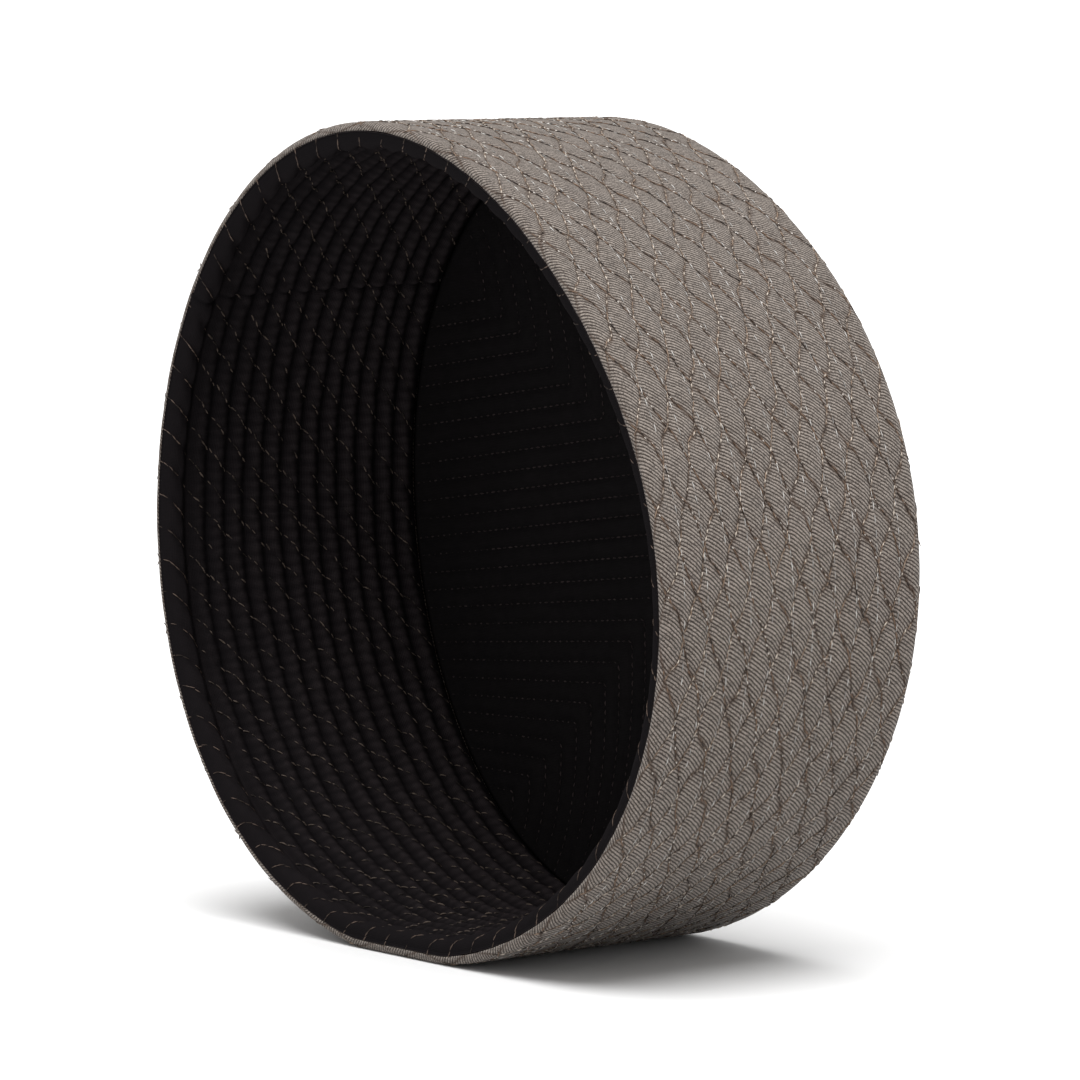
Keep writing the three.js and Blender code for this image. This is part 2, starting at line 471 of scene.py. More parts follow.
@dataclass(frozen=True)
class CrownQuilting:
    """Stitched rows on the crown: sloping rows across it, and nested corners above and below.

    A row is named by its number, 0 for the highest row that turns a corner and counted
    downwards. Its level is its height on the left side, where the rows' slopes are taken. A row
    that turns a corner leans at first by one angle and further along by another more, with a
    power that says how soon.
    """

    form: CapForm
    row_pitch: float = 4.5
    first_level: float = 20.0
    level_place: float = -40.0
    steepest: float = 0.155
    flattening: float = 75.0
    highest_row: int = -7
    lowest_row: int = 19
    upper_corner: float = 19.9
    upper_spread: float = 5.9
    lower_row: int = 9
    lower_corner: float = 0.8
    lower_spread: float = 4.2
    lower_widening: float = 0.07
    step: float = 0.5
    reach: float = 92.0
    upper_lean: tuple[float, float, float] = (3.0, 32.0, 0.8)
    lower_lean: tuple[float, float, float] = (-5.0, 36.0, 1.3)
    shortest: float = 8.0
    spare_steps: int = 16
    fewest_points: int = 5
    edge_margin: float = 3.5
    puff: float = 0.34
    puff_reach: float = 1.1
    groove: float = 0.3
    groove_width: float = 0.55

    def _level_at(self, number: int, across: Array | float) -> Array | float:
        """Height of a row at a place across the crown."""
        level = self.first_level - number * self.row_pitch
        fall = max(self.first_level - level, 0.0) / self.flattening
        return level + self.steepest * (1.0 - fall**2) * (across - self.level_place)

    def _corner_place(self, number: int) -> float:
        """Distance of a row's corners from the middle, or 0 for a row with none."""
        upper = self.upper_corner - self.upper_spread * number
        below = number - self.lower_row
        lower = self.lower_corner + self.lower_spread * below + self.lower_widening * below**2
        if upper > 0.0:
            return upper
        return lower if below >= 0 else 0.0

    def _clip(self, points: list[tuple[float, float]]) -> Array:
        """The first unbroken stretch of a row that lies on the crown."""
        row = np.array(points)
        across, up = row.T
        limit = self.form.radius_at(self.form.height, np.arctan2(up, across)) - self.edge_margin
        inside = np.hypot(across, up) < limit
        return row[inside]

    def _corner_row(self, number: int, side: int) -> Array:
        """A row that comes in from one side, turns a corner and runs away from the middle."""
        corner = self._corner_place(number)
        upward = number < self.lower_row
        first, more, power = self.upper_lean if upward else self.lower_lean
        across = np.arange(self.reach, corner, -self.step)
        points = [(side * x, float(self._level_at(number, side * x))) for x in across]
        x, z = corner, float(self._level_at(number, side * corner))
        length = max(math.sqrt(self.reach**2 - corner**2) - abs(z), self.shortest)
        for index in range(int(length / self.step) + self.spare_steps):
            lean = math.radians(first + more * (index * self.step / length) ** power)
            x += self.step * math.sin(lean)
            z += self.step * math.cos(lean) * (1 if upward else -1)
            points.append((side * x, z))
        return self._clip(points)

    @cached_property
    def rows(self) -> list[Array]:
        """Every row as a list of points across and up from the crown's centre."""
        made = []
        for number in range(self.highest_row, self.lowest_row + 1):
            if self._corner_place(number) > 0.0:
                made.extend(self._corner_row(number, side) for side in (-1, 1))
                continue
            across = np.arange(-self.reach, self.reach, self.step)
            made.append(self._clip([(x, self._level_at(number, x)) for x in across]))
        return [row for row in made if len(row) >= self.fewest_points]

    def gap(self, across: Array, up: Array) -> Array:
        """Distance to the nearest row for points on the crown."""
        samples = np.concatenate(self.rows)
        tree = KDTree(len(samples))
        for index, (x, z) in enumerate(samples):
            tree.insert((x, z, 0.0), index)
        tree.balance()
        flat = np.stack([np.ravel(across), np.ravel(up)], axis=-1)
        gaps = [tree.find((x, z, 0.0))[2] for x, z in flat]
        return np.array(gaps).reshape(np.shape(across))

    def relief(self, gap: Array) -> Array:
        """How far the quilted crown stands out of its plain face, from the distance to a row."""
        puff = self.puff * (1.0 - bell(gap, self.puff_reach))
        return puff - self.groove * bell(gap, self.groove_width)


class NodeSheet:
    """A node tree and short ways to add linked nodes to it."""

    def __init__(self, tree: bpy.types.NodeTree) -> None:
        """Keep the tree that the nodes go into."""
        self.tree = tree

    def add(self, kind: str, inputs: Inputs | None = None, **settings: object) -> bpy.types.Node:
        """Add a node.

        Args:
            kind: Type of the node.
            inputs: What its inputs are fed with, by their names or numbers.
            settings: Properties of the node.

        Returns:
            The node.
        """
        node = self.tree.nodes.new(kind)
        for name, value in settings.items():
            setattr(node, name, value)
        for key, value in (inputs or {}).items():
            self.feed(node.inputs[key], value)
        return node

    def feed(self, socket: bpy.types.NodeSocket, value: object) -> None:
        """Link a socket to another, or set its constant."""
        if isinstance(value, bpy.types.NodeSocket):
            self.tree.links.new(value, socket)
        else:
            socket.default_value = value

    def math(self, operation: str, *values: object) -> bpy.types.NodeSocket:
        """Result of a math node."""
        return self.add("ShaderNodeMath", dict(enumerate(values)), operation=operation).outputs[0]

    def product(self, value: object, *others: object) -> object:
        """Product of several values."""
        for other in others:
            value = self.math("MULTIPLY", value, other)
        return value

    def vector(self, x: object = 0.0, y: object = 0.0, z: object = 0.0) -> bpy.types.NodeSocket:
        """A vector from three values."""
        return self.add("ShaderNodeCombineXYZ", {0: x, 1: y, 2: z}).outputs[0]


class ShaderSheet(NodeSheet):
    """One material with a Principled surface."""

    FIRST_COLOUR = 6
    SECOND_COLOUR = 7

    def __init__(self, name: str) -> None:
        """Make an empty material of this name."""
        self.material = bpy.data.materials.new(name)
        self.material.use_nodes = True
        super().__init__(self.material.node_tree)
        self.surface = self.tree.nodes["Principled BSDF"]

    def cover(self, inputs: Inputs) -> None:
        """Feed the surface's own inputs."""
        for name, value in inputs.items():
            self.feed(self.surface.inputs[name], value)

    def blend(self, share: object, low: object, high: object) -> bpy.types.NodeSocket:
        """Mixture of two colours."""
        inputs = {"Factor": share, self.FIRST_COLOUR: low, self.SECOND_COLOUR: high}
        return self.add("ShaderNodeMix", inputs, data_type="RGBA").outputs[2]

    def spread(self, value: object, low: float, high: float) -> bpy.types.NodeSocket:
        """A value from 0 to 1 spread between two limits."""
        inputs = {"Value": value, "To Min": low, "To Max": high}
        return self.add("ShaderNodeMapRange", inputs).outputs["Result"]

    def step(
        self, value: object, start: float, end: float, low: float = 0.0, high: float = 1.0
    ) -> bpy.types.NodeSocket:
        """A smooth step between two limits while a value runs from start to end."""
        inputs = {"Value": value, "From Min": start, "From Max": end, "To Min": low, "To Max": high}
        return self.add("ShaderNodeMapRange", inputs, interpolation_type="SMOOTHSTEP").outputs["Result"]

    def noise(self, vector: object, scale: float, detail: float = 2.0) -> bpy.types.NodeSocket:
        """Soft noise from 0 to 1 at a scale in waves per metre."""
        inputs = {"Vector": vector, "Scale": scale, "Detail": detail}
        return self.add("ShaderNodeTexNoise", inputs).outputs["Fac"]

    def ridges(self, value: object, turns: float) -> bpy.types.NodeSocket:
        """Height from 0 to 1 of round ridges that lie side by side."""
        return self.math("ABSOLUTE", self.math("SINE", self.math("MULTIPLY", value, turns)))

    def place(self) -> bpy.types.NodeSocket:
        """Place on the object."""
        return self.add("ShaderNodeTexCoord").outputs["Object"]

    def crease(self) -> bpy.types.NodeSocket:
        """The piece's own crease attribute, from 0 to 1."""
        return self.add("ShaderNodeAttribute", attribute_name="crease").outputs["Fac"]

    def chart(self) -> tuple[bpy.types.NodeSocket, bpy.types.NodeSocket]:
        """The piece's own chart coordinates, round it and across it, in metres."""
        chart = self.add("ShaderNodeUVMap", uv_map="cloth").outputs[0]
        split = self.add("ShaderNodeSeparateXYZ", {0: chart})
        return split.outputs[0], split.outputs[1]

    def bump(self, height: object, distance: float, strength: float) -> None:
        """Give the surface a fine relief."""
        inputs = {"Distance": distance, "Strength": strength, "Height": height}
        self.cover({"Normal": self.add("ShaderNodeBump", inputs).outputs[0]})


@dataclass(frozen=True)
class Mottle:
    """Uneven tone: noise of some scale, in waves per metre, spread between two limits."""

    scale: float
    detail: float
    low: float
    high: float

    def lay(self, sheet: ShaderSheet, place: object) -> bpy.types.NodeSocket:
        """The tone at a place on the object."""
        return sheet.spread(sheet.noise(place, self.scale, self.detail), self.low, self.high)


@dataclass(frozen=True)
class TwillFinish:
    """Fine taupe twill: slanting wales of mottled yarn, with creases along the stitching. The creases'
    dark brown is partly a brown tint and partly painted shade.

    Where a wall quilting is given the creases follow its lines. Elsewhere they follow the
    piece's crease attribute.
    """

    name: str = "taupe_twill"
    quilting: WallQuilting | None = None
    wale_pitch: float = 0.73
    wale_angle: float = 36.5
    wale_bend: float = 2.4
    wale_wander: float = 0.42
    wale_wander_scale: float = 700.0
    float_length: float = 0.95
    float_stagger: float = 0.37
    ridge_power: float = 1.4
    float_end: float = 0.75
    dark: Colour = (0.0090, 0.0042, 0.0021, 1.0)
    light: Colour = (0.238, 0.204, 0.178, 1.0)
    calm: Colour = (0.122, 0.114, 0.107, 1.0)
    dimmest_float: float = 0.72
    brightest_float: float = 1.2
    broad: Mottle = Mottle(60.0, 3.0, 0.87, 1.13)
    grain: Mottle = Mottle(4400.0, 1.0, -0.7, 2.8)
    fibre: Mottle = Mottle(2500.0, 0.0, 0.55, 1.45)
    calm_scale: float = 260.0
    calm_start: float = 0.48
    calm_end: float = 0.68
    most_calm: float = 0.08
    crease_stain_and_shade_colour: Colour = (0.040, 0.0215, 0.0120, 1.0)
    crease_mottle: Mottle = Mottle(330.0, 2.0, 0.0, 1.9)
    crease_reach: float = 0.62
    crown_crease_strength: float = 0.72
    rim_crease_strength: float = 0.6
    plain_crease_strength: float = 0.5
    most_crease: float = 0.9
    crease_depth: float = 0.1
    bump_height: float = 0.2
    bump_strength: float = 0.9

    def _wave(self, sheet: ShaderSheet, height: object, angle: object) -> object:
        """The stitched lines' wander, as in the quilting."""
        total: object = 0.0
        for size, around, per_mm, start in self.quilting.wander.waves:
            turn = sheet.math("MULTIPLY_ADD", angle, float(around), start)
            turn = sheet.math("MULTIPLY_ADD", height, FULL_TURN * per_mm, turn)
            total = sheet.math("MULTIPLY_ADD", sheet.math("SINE", turn), size, total)
        return total

    def _phase(self, sheet: ShaderSheet, lean: Lean, angle: object, lingered: object) -> object:
        """Phase of a family of lines without its wander, as in the quilting."""
        quilting = self.quilting
        phase = sheet.math("MULTIPLY_ADD", angle, quilting.repeats / FULL_TURN, quilting.start(lean))
        return sheet.math("MULTIPLY_ADD", lingered, lean.value / quilting.lattice_height, phase)

    def _creases(self, sheet: ShaderSheet, around: object, across: object) -> list[object]:
        """Closeness to the lines of each family, from 0 to 1, and the bend of the wales."""
        quilting = self.quilting
        if quilting is None:
            return [sheet.math("MULTIPLY", sheet.crease(), self.plain_crease_strength), 0.0, 0.0]
        height = sheet.math("DIVIDE", across, MM)
        angle = sheet.math("MULTIPLY_ADD", around, 1.0 / (quilting.form.mean_radius * MM), -math.pi)
        turns = FULL_TURN / quilting.row_pitch
        row_turn = sheet.math("MULTIPLY_ADD", height, turns, -turns * quilting.row_start)
        lingered = sheet.math("MULTIPLY_ADD", sheet.math("SINE", row_turn), quilting.linger, height)
        wander = self._wave(sheet, height, angle)
        creases = []
        reach = self.crease_reach / quilting.line_spacing
        for lean in Lean:
            phase = sheet.math("ADD", self._phase(sheet, lean, angle, lingered), wander)
            away = sheet.math("ABSOLUTE", sheet.math("SUBTRACT", phase, sheet.math("ROUND", phase)))
            creases.append(sheet.step(away, 0.0, reach, 1.0, 0.0))
            if lean is Lean.TO_RIM:
                share = sheet.math("FRACT", phase)
                bend = sheet.product(share, share, self.wale_bend)
                bend = sheet.math("MULTIPLY_ADD", share, -self.wale_bend, bend)
        return [*creases, bend]

    def _weave(self, sheet: ShaderSheet, place: object, bend: object) -> tuple[object, object]:
        """Height of the woven yarn, and the yarn's own tone, which changes from float to float."""
        around, across = sheet.chart()
        sine = math.sin(math.radians(self.wale_angle))
        cosine = math.cos(math.radians(self.wale_angle))
        pitch, length = self.wale_pitch * MM, self.float_length * MM
        wander = sheet.noise(place, self.wale_wander_scale)
        wale = sheet.math("MULTIPLY_ADD", wander, self.wale_wander, bend)
        wale = sheet.math("MULTIPLY_ADD", across, sine / pitch, wale)
        wale = sheet.math("MULTIPLY_ADD", around, cosine / pitch, wale)
        number = sheet.math("FLOOR", wale)
        along = sheet.math("MULTIPLY", number, self.float_stagger)
        along = sheet.math("MULTIPLY_ADD", across, cosine / length, along)
        along = sheet.math("MULTIPLY_ADD", around, -sine / length, along)
        ridge = sheet.math("POWER", sheet.ridges(wale, math.pi), self.ridge_power)
        body = sheet.product(ridge, sheet.spread(sheet.ridges(along, math.pi), self.float_end, 1.0))
        cell = sheet.vector(number, sheet.math("FLOOR", along))
        yarn = sheet.add("ShaderNodeTexWhiteNoise", {"Vector": cell}, noise_dimensions="2D")
        return body, sheet.spread(yarn.outputs["Value"], self.dimmest_float, self.brightest_float)

    def build(self) -> bpy.types.Material:
        """Make the material.

        Returns:
            The twill, which reads the piece's chart.
        """
        sheet = ShaderSheet(self.name)
        place = sheet.place()
        to_crown, to_rim, bend = self._creases(sheet, *sheet.chart())
        body, yarn = self._weave(sheet, place, bend)
        mottles = [mottle.lay(sheet, place) for mottle in (self.broad, self.grain, self.fibre)]
        cloth = sheet.blend(sheet.product(body, yarn, *mottles), self.dark, self.light)
        calm = sheet.noise(place, self.calm_scale, 1.0)
        calm = sheet.step(calm, self.calm_start, self.calm_end, 0.0, self.most_calm)
        cloth = sheet.blend(calm, cloth, self.calm)
        # Painted shade with a brown tint along the stitched creases, darker beside the lines that lean
        # to the crown.
        crease = sheet.math("MULTIPLY", to_crown, self.crown_crease_strength)
        crease = sheet.math("MAXIMUM", crease, sheet.math("MULTIPLY", to_rim, self.rim_crease_strength))
        stain_and_shade = sheet.product(crease, self.crease_mottle.lay(sheet, place))
        stain_and_shade = sheet.math("MINIMUM", stain_and_shade, self.most_crease)
        sheet.cover(
            {
                "Base Color": sheet.blend(stain_and_shade, cloth, self.crease_stain_and_shade_colour),
                "Roughness": sheet.spread(body, 0.95, 0.8),
                "Sheen Weight": 0.08,
                "Sheen Roughness": 0.5,
                "Specular IOR Level": 0.2,
            }
        )
        relief = sheet.math("MULTIPLY_ADD", crease, -self.crease_depth / self.bump_height, body)
        sheet.bump(relief, self.bump_height * MM, self.bump_strength)
        return sheet.material


@dataclass(frozen=True)
class LiningFinish:
    """Black plain-woven lining, slightly dusty and dull, with small lumps along its ribs. Its tone is
    painted darker as shade in the grooves, in the lumps' hollows, at the rolled edge and near the mouth,
    and lighter deeper in.
    """

    name: str = "black_lining"
    thread_pitch: float = 0.36
    dark: Colour = (0.0044, 0.0038, 0.0043, 1.0)
    light: Colour = (0.0238, 0.0192, 0.0202, 1.0)
    dust_scale: float = 420.0
    dust_detail: float = 3.0
    cleanest: float = 0.35
    dustiest: float = 1.25
    broad_scale: float = 45.0
    broad_tone: float = 0.2
    bump_height: float = 0.07
    bump_strength: float = 0.8
    lump_pitch: float = 2.75
    lump_drift: float = 9.0
    lump_jitter: float = 4.5
    lump_height: float = 0.13
    # Painted shade and highlight along the lumps: darker in their hollows, lighter on them.
    painted_lump_tone: float = 0.32
    # Painted shade in the rib grooves and on the join, from the crease attribute.
    painted_groove_tone: float = 0.2
    # Painted shade towards the mouth and painted light deeper in the lining, over this reach.
    depth_reach: float = 60.0
    painted_rim_tone: float = 0.36
    painted_deep_tone: float = 1.55
    strip_reach: float = 16.0
    # Painted shade: the lining is darker along its rolled edge.
    edge_reach: float = 6.0
    painted_edge_tone: float = 0.3

    def _lumps(self, sheet: ShaderSheet, dust: object, broad: object) -> object:
        """Lumps from 0 to 1 along the ribs, none on the edge strip."""
        around, across = sheet.chart()
        turn = sheet.math("MULTIPLY", dust, self.lump_jitter)
        turn = sheet.math("MULTIPLY_ADD", broad, self.lump_drift, turn)
        turn = sheet.math("MULTIPLY_ADD", around, FULL_TURN / (self.lump_pitch * MM), turn)
        corded = sheet.spread(sheet.math("DIVIDE", across, self.strip_reach * MM), -1.0, 1.0)
        swing = sheet.product(sheet.math("SINE", turn), sheet.math("MAXIMUM", corded, 0.0))
        return sheet.math("MULTIPLY_ADD", swing, 0.5, 0.5)

    def build(self) -> bpy.types.Material:
        """Make the material.

        Returns:
            The lining cloth, which reads the piece's chart.
        """
        sheet = ShaderSheet(self.name)
        around, across = sheet.chart()
        turns = math.pi / (self.thread_pitch * MM)
        weave = sheet.math("ADD", sheet.ridges(around, turns), sheet.ridges(across, turns))
        weave = sheet.product(weave, 0.5)
        place = sheet.place()
        dust = sheet.noise(place, self.dust_scale, self.dust_detail)
        broad = sheet.noise(place, self.broad_scale)
        lump = self._lumps(sheet, dust, broad)
        edge = sheet.math("DIVIDE", across, self.edge_reach * MM)
        deep = sheet.math("DIVIDE", across, self.depth_reach * MM)
        # The weave, dust and broad noise are the cloth's own tone; the lump, crease, edge and depth
        # terms are painted shade and light.
        tone = sheet.product(
            weave,
            sheet.spread(dust, self.cleanest, self.dustiest),
            sheet.spread(broad, 1.0 - self.broad_tone, 1.0 + self.broad_tone),
            sheet.spread(lump, 1.0 - self.painted_lump_tone, 1.0 + self.painted_lump_tone),
            sheet.spread(sheet.crease(), 1.0, self.painted_groove_tone),
            sheet.spread(edge, self.painted_edge_tone, 1.0),
            sheet.spread(deep, self.painted_rim_tone, self.painted_deep_tone),
        )
        sheet.cover(
            {
                "Base Color": sheet.blend(tone, self.dark, self.light),
                "Roughness": sheet.spread(dust, 0.78, 0.95),
                "Specular IOR Level": 0.02,
            }
        )
        relief = sheet.math("MULTIPLY_ADD", lump, self.lump_height / self.bump_height, weave)
        sheet.bump(relief, self.bump_height * MM, self.bump_strength)
        return sheet.material


@dataclass(frozen=True)
class ThreadFinish:
    """Sewing thread whose colour changes between two tones along its length."""

    name: str
    dark: Colour
    light: Colour
    change_scale: float = 420.0
    change_start: float = 0.36
    change_end: float = 0.64
    roughness: float = 0.6
    roughness_spread: float = 0.1
    specular: float = 0.3
    twist_scale: float = 5200.0
    twist_height: float = 0.03
    twist_strength: float = 0.5

    def build(self) -> bpy.types.Material:
        """Make the material.

        Returns:
            The thread, which reads the place on the object.
        """
        sheet = ShaderSheet(self.name)
        place = sheet.place()
        tone = sheet.step(sheet.noise(place, self.change_scale, 1.0), self.change_start, self.change_end)
        twist = sheet.noise(place, self.twist_scale, 0.0)
        smoothest = self.roughness - self.roughness_spread
        roughest = self.roughness + self.roughness_spread
        sheet.cover(
            {
                "Base Color": sheet.blend(tone, self.dark, self.light),
                "Roughness": sheet.spread(twist, smoothest, roughest),
                "Specular IOR Level": self.specular,
            }
        )
        sheet.bump(twist, self.twist_height * MM, self.twist_strength)
        return sheet.material


class Yarn(Enum):
    """The sewing threads of the cap."""

    BROWN = ThreadFinish(
        "brown_thread", (0.012, 0.0062, 0.0034, 1.0), (0.135, 0.082, 0.051, 1.0), 520.0
    )
    TAN = ThreadFinish("tan_thread", (0.020, 0.0108, 0.0060, 1.0), (0.190, 0.130, 0.090, 1.0), 620.0)
    PALE = ThreadFinish("pale_thread", (0.200, 0.190, 0.180, 1.0), (0.470, 0.455, 0.435, 1.0))
    CREAM = ThreadFinish("cream_thread", (0.150, 0.115, 0.088, 1.0), (0.430, 0.375, 0.318, 1.0), 500.0)
    GLINT = ThreadFinish(
        "thread_glint", (0.400, 0.365, 0.325, 1.0), (0.540, 0.500, 0.460, 1.0), roughness=0.35
    )
    LINING = ThreadFinish(
        "lining_thread", (0.012, 0.009, 0.007, 1.0), (0.098, 0.075, 0.060, 1.0), 700.0, specular=0.15
    )
    EDGE = ThreadFinish(
        "edge_thread", (0.018, 0.012, 0.009, 1.0), (0.115, 0.082, 0.064, 1.0), specular=0.15
    )
    CROWN = ThreadFinish(
        "crown_thread",
        (0.0160, 0.0122, 0.0122, 1.0),
        (0.0340, 0.0258, 0.0254, 1.0),
        roughness=0.75,
        specular=0.04,
    )


@dataclass(frozen=True)
class Finishes:
    """Every finish of the cap, built once."""

    wall_twill: bpy.types.Material
    crown_twill: bpy.types.Material
    wall_lining: bpy.types.Material
    crown_lining: bpy.types.Material
    threads: dict[Yarn, bpy.types.Material]

    @classmethod
    def build(cls, form: CapForm) -> Finishes:
        """Make all the materials.

        Args:
            form: The cap's form, which the wall's quilting follows.

        Returns:
            The finishes that the pieces share.
        """
        # The crown's lining is the same black cloth as the wall's, painted darker as shade deep in the
        # cap; its rows' grooves get painted shade too.
        crown_lining = LiningFinish(
            "black_crown_lining_painted_shade",
            dark=(0.0034, 0.0031, 0.0032, 1.0),
            light=(0.0098, 0.0087, 0.0090, 1.0),
            lump_height=0.0,
            painted_lump_tone=0.0,
            painted_groove_tone=0.7,
            painted_edge_tone=1.0,
            painted_rim_tone=1.0,
            painted_deep_tone=1.0,
        )
        return cls(
            wall_twill=TwillFinish("taupe_twill_wall", WallQuilting(form)).build(),
            crown_twill=TwillFinish("taupe_twill_crown").build(),
            wall_lining=LiningFinish().build(),
            crown_lining=crown_lining.build(),
            threads={yarn: yarn.value.build() for yarn in Yarn},
        )


@dataclass
class ClothMesh:
    """Mesh of cloth from rows of points that run round the cap.

    Each row is an array of points in metres, and the rows follow the cloth's cross-section. The
    chart's coordinates are given for the columns and for the rows. Two poles may close the first
    and the last row.
    """

    name: str
    material: bpy.types.Material
    rows: Array
    around: Array
    across: Array
    loop_rows: bool
    crease: Array | None = None
    poles: tuple[Array, Array] | None = None

    @property
    def _cells(self) -> tuple[Array, Array]:
        """Row and column of every quad."""
        count, columns = self.rows.shape[:2]
        bands = count if self.loop_rows else count - 1
        return np.repeat(np.arange(bands), columns), np.tile(np.arange(columns), bands)

    def _quads(self) -> list[list[int]]:
        """Corners of the quads between the rows."""
        count, columns = self.rows.shape[:2]
        row, column = self._cells
        low, high = row * columns, (row + 1) % count * columns
        beside = (column + 1) % columns
        return np.stack([low + column, low + beside, high + beside, high + column], axis=-1).tolist()

    def _fans(self, first_pole: int) -> list[list[int]]:
        """Triangles that close the first and the last row at the poles."""
        count, columns = self.rows.shape[:2]
        last_row = (count - 1) * columns
        sides = [(index, (index + 1) % columns) for index in range(columns)]
        closing = [[first_pole, after, index] for index, after in sides]
        return closing + [[first_pole + 1, last_row + index, last_row + after] for index, after in sides]

    def _chart(self) -> Array:
        """Chart coordinates of the quads' corners."""
        row, column = self._cells
        left, right = self.around[column], self.around[column + 1]
        low, high = self.across[row], self.across[row + 1]
        corners = ((left, low), (right, low), (right, high), (left, high))
        return np.stack([np.stack(corner, axis=-1) for corner in corners], axis=1).reshape(-1, 2)

    def build(self) -> bpy.types.Object:
        """Make the object.

        Returns:
            The mesh object, linked to the scene, with its chart and crease attribute.
        """
        points, faces, chart = self.rows.reshape(-1, 3), self._quads(), self._chart()
        if self.poles is not None:
            fans = self._fans(len(points))
            faces += fans
            points = np.concatenate([points, np.array(self.poles)])
            chart = np.concatenate([chart, np.zeros((3 * len(fans), 2))])
        mesh = bpy.data.meshes.new(self.name)
        mesh.from_pydata(points.tolist(), [], faces)
        mesh.uv_layers.new(name="cloth").data.foreach_set("uv", chart.astype(np.float32).ravel())
        if self.crease is not None:
            values = np.zeros(len(points), np.float32)
            values[: self.crease.size] = self.crease.ravel()
            mesh.attributes.new("crease", "FLOAT", "POINT").data.foreach_set("value", values)
        mesh.polygons.foreach_set("use_smooth", np.ones(len(mesh.polygons), bool))
        mesh.materials.append(self.material)
        mesh.validate()
        mesh.update()
        return link_object(self.name, mesh)


def arc(centre: tuple[float, float], radius: float, start: float, end: float, steps: int) -> Array:
    """Points of a rounded corner in the height and depth plane.

    Args:
        centre: Height and depth of the arc's centre.
        radius: Radius of the arc.
        start: First angle, 0 along the height.
        end: Last angle.
        steps: Number of steps.

    Returns:
        An array of height and depth pairs.
    """
    angles = np.radians(np.linspace(start, end, steps + 1))
    return np.stack([centre[0] + radius * np.cos(angles), centre[1] + radius * np.sin(angles)], axis=-1)


def chart_lengths(profile: Array) -> Array:
    """Length along a closed cross-section at each of its points and back at the first, in metres."""
    steps = np.hypot(*np.diff(np.concatenate([profile, profile[:1]]), axis=0).T)
    return np.concatenate([[0.0], np.cumsum(steps)]) * MM


def faced_outwards(piece: bpy.types.Object) -> bpy.types.Object:
    """The same closed piece, its faces turned round if they pointed inwards."""
    mesh = piece.data
    mesh.calc_loop_triangles()
    corners = np.zeros(len(mesh.loop_triangles) * 3, np.int32)
    mesh.loop_triangles.foreach_get("vertices", corners)
    a, b, c = vertex_places(mesh)[corners.reshape(-1, 3)].transpose(1, 0, 2)
    if np.einsum("ij,ij->i", a, np.cross(b, c)).sum() < 0.0:
        mesh.flip_normals()
    return piece


def finish_piece(piece: bpy.types.Object, replaces: str | None = None) -> None:
    """Ride a finished piece on the cap's one body and report it.

    Args:
        piece: The finished object.
        replaces: Node of the solids that it stands for, or None.
    """
    if replaces is not None:
        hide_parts(replaces)
    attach(piece, BODY)
    triangles = sum(len(face.vertices) - 2 for face in piece.data.polygons)
    LOG.info("%s: %d triangles", piece.name, triangles)


def draw_wire(name: str, lines: Lines) -> bpy.types.Object:
    """Make a wire object of lines along which stitches lie.

    Args:
        name: Name of the object.
        lines: Points of each line, each point with the direction that lifts off the cloth.

    Returns:
        The wire object, linked to the scene, with its lift directions.
    """
    points = np.concatenate([line for line, _ in lines])
    lifts = np.concatenate([lift for _, lift in lines])
    edges = []
    start = 0
    for line, _ in lines:
        edges.extend((start + index, start + index + 1) for index in range(len(line) - 1))
        start += len(line)
    mesh = bpy.data.meshes.new(name)
    mesh.from_pydata(points.tolist(), edges, [])
    attribute = mesh.attributes.new("lift", "FLOAT_VECTOR", "POINT")
    attribute.data.foreach_set("vector", lifts.astype(np.float32).ravel())
    return link_object(name, mesh)


@dataclass(frozen=True)
class StitchSizes:
    """Sizes of one kind of stitch, in millimetres except for the shares, counts and seed."""

    pitch: float
    length: float
    width: float
    arch: float
    rise: float = 0.0
    unevenness: float = 0.12
    keep: float = 1.0
    seed: int = 1
    sides: int = 4
    rings: int = 4


